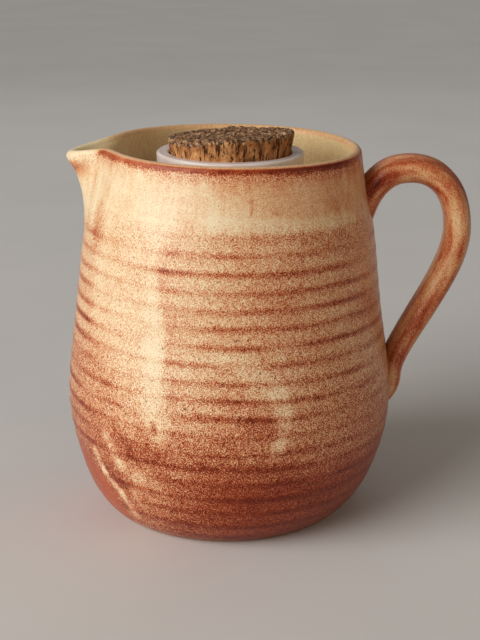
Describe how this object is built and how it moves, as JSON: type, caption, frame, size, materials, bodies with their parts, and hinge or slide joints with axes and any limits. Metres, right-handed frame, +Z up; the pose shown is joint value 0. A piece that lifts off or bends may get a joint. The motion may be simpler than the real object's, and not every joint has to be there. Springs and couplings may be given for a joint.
{
  "type": "butter crock",
  "caption": "Pitcher-shaped stoneware crock with pulled spout and strap handle, holding a glazed liner jar closed by a tapered cork.",
  "frame": {"origin": "centre of the crock's flat base, on the axis it was thrown about", "axes": "+Z up along the crock's axis, +X towards the handle, -X towards the spout; y = 0 is the plane of symmetry"},
  "size_m": [0.231, 0.188, 0.2219],
  "materials": {
    "rust_glaze": "satin iron-speckled oatmeal and rust stoneware glaze",
    "white_glaze": "gloss off-white glaze",
    "cork": "raw cork, sanded side with vertical lenticels, rough bark top"
  },
  "bodies": {
    "crock": {"crock_body": "rust_glaze", "handle": "rust_glaze"},
    "liner": {"liner_jar": "white_glaze"},
    "cork": {"cork_stopper": "cork"}
  },
  "joints": [
    {"name": "liner_lift", "type": "slide", "parent": "crock", "child": "liner", "axis": [0, 0, 1], "range_m": [0, 0.22]},
    {"name": "cork_lift", "type": "slide", "parent": "liner", "child": "cork", "axis": [0, 0, 1], "range_m": [0, 0.04]}
  ]
}
